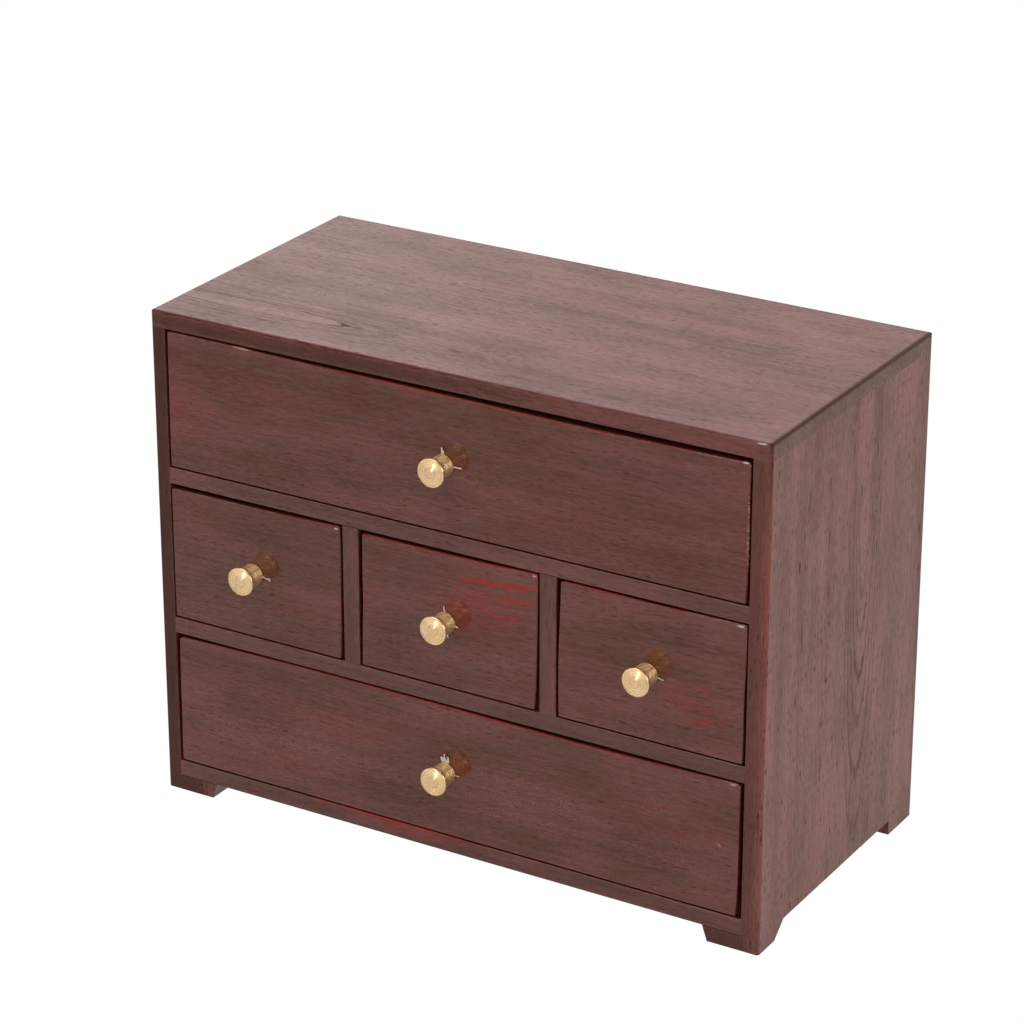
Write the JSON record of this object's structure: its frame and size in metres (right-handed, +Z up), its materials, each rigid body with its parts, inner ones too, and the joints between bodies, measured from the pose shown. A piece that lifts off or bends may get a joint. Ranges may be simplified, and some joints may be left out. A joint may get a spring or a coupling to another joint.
{
  "type": "desktop mini drawers",
  "caption": "Small free-standing wooden chest for a desk, with wide and small drawers in rows, short block feet and turned brass knobs.",
  "frame": {"origin": "middle of the footprint, knobs included, on the surface that the feet stand on", "axes": "+Z up, -Y out of the drawer fronts, +X to the right as seen from the front"},
  "size_m": [0.3, 0.1576, 0.2294],
  "materials": {
    "stained_wood": "dark red-brown stain under a satin lacquer, rubbed red along the edges",
    "inner_wood": "plain sawn light wood, unvarnished",
    "plywood": "thin plywood, unvarnished",
    "brass": "turned, with fine rings on the face",
    "steel": "zinc-plated screws and bright wire pins"
  },
  "bodies": {
    "cabinet": {"top_board": "stained_wood", "bottom_board": "stained_wood", "left_side": "stained_wood", "right_side": "stained_wood", "upper_shelf": "stained_wood", "lower_shelf": "stained_wood", "left_divider": "stained_wood", "right_divider": "stained_wood", "back_panel": "plywood", "foot_front_left": "stained_wood", "foot_front_right": "stained_wood", "foot_back_left": "stained_wood", "foot_back_right": "stained_wood", "back_pins": "steel", "foot_pins": "steel"},
    "top_drawer": {"top_drawer_front": "stained_wood", "top_drawer_left_wall": "inner_wood", "top_drawer_right_wall": "inner_wood", "top_drawer_back_wall": "inner_wood", "top_drawer_floor": "plywood", "top_drawer_knob": "brass", "top_drawer_screw": "steel", "top_drawer_pins": "steel"},
    "left_drawer": {"left_drawer_front": "stained_wood", "left_drawer_left_wall": "inner_wood", "left_drawer_right_wall": "inner_wood", "left_drawer_back_wall": "inner_wood", "left_drawer_floor": "plywood", "left_drawer_knob": "brass", "left_drawer_screw": "steel", "left_drawer_pins": "steel"},
    "middle_drawer": {"middle_drawer_front": "stained_wood", "middle_drawer_left_wall": "inner_wood", "middle_drawer_right_wall": "inner_wood", "middle_drawer_back_wall": "inner_wood", "middle_drawer_floor": "plywood", "middle_drawer_knob": "brass", "middle_drawer_screw": "steel", "middle_drawer_pins": "steel"},
    "right_drawer": {"right_drawer_front": "stained_wood", "right_drawer_left_wall": "inner_wood", "right_drawer_right_wall": "inner_wood", "right_drawer_back_wall": "inner_wood", "right_drawer_floor": "plywood", "right_drawer_knob": "brass", "right_drawer_screw": "steel", "right_drawer_pins": "steel"},
    "bottom_drawer": {"bottom_drawer_front": "stained_wood", "bottom_drawer_left_wall": "inner_wood", "bottom_drawer_right_wall": "inner_wood", "bottom_drawer_back_wall": "inner_wood", "bottom_drawer_floor": "plywood", "bottom_drawer_knob": "brass", "bottom_drawer_screw": "steel", "bottom_drawer_pins": "steel"}
  },
  "joints": [
    {"name": "top_drawer_slide", "type": "slide", "parent": "cabinet", "child": "top_drawer", "axis": [0, -1, 0], "range_m": [0, 0.105]},
    {"name": "left_drawer_slide", "type": "slide", "parent": "cabinet", "child": "left_drawer", "axis": [0, -1, 0], "range_m": [0, 0.105]},
    {"name": "middle_drawer_slide", "type": "slide", "parent": "cabinet", "child": "middle_drawer", "axis": [0, -1, 0], "range_m": [0, 0.105]},
    {"name": "right_drawer_slide", "type": "slide", "parent": "cabinet", "child": "right_drawer", "axis": [0, -1, 0], "range_m": [0, 0.105]},
    {"name": "bottom_drawer_slide", "type": "slide", "parent": "cabinet", "child": "bottom_drawer", "axis": [0, -1, 0], "range_m": [0, 0.105]}
  ]
}
